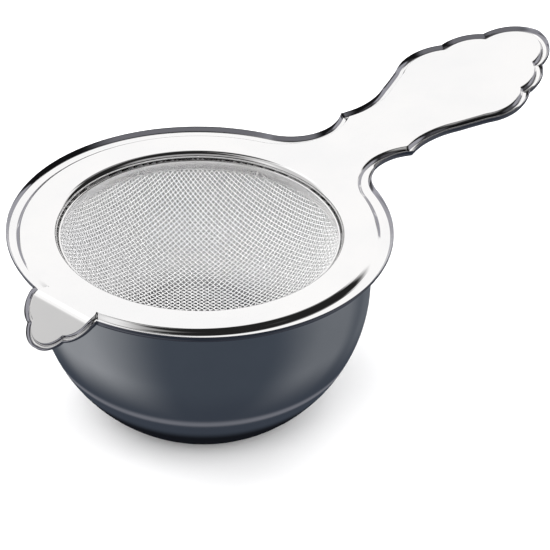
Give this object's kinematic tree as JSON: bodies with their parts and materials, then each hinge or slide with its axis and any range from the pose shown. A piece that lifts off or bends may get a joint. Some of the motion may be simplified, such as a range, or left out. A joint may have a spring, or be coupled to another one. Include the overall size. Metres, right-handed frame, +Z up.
{
  "type": "tea strainer",
  "caption": "Polished steel tea strainer with a scalloped handle and a woven mesh basket, resting on a round drip bowl.",
  "frame": {"origin": "centre of the bowl's flat foot", "axes": "+Z up out of the bowl's mouth, +X along the handle, rest tab towards -X"},
  "size_m": [0.1588, 0.0834, 0.0467],
  "materials": {
    "polished_steel": "mirror-polished stainless steel",
    "wire_cloth": "woven stainless wire",
    "bowl_steel": "mirror-polished stainless steel"
  },
  "bodies": {
    "bowl": {"drip_bowl": "bowl_steel"},
    "strainer": {"strainer_plate": "polished_steel", "clamp_band": "polished_steel", "mesh_basket": "wire_cloth"}
  },
  "joints": [
    {"name": "strainer_lift", "type": "slide", "parent": "bowl", "child": "strainer", "axis": [0, 0, 1], "range_m": [0, 0.06]}
  ]
}
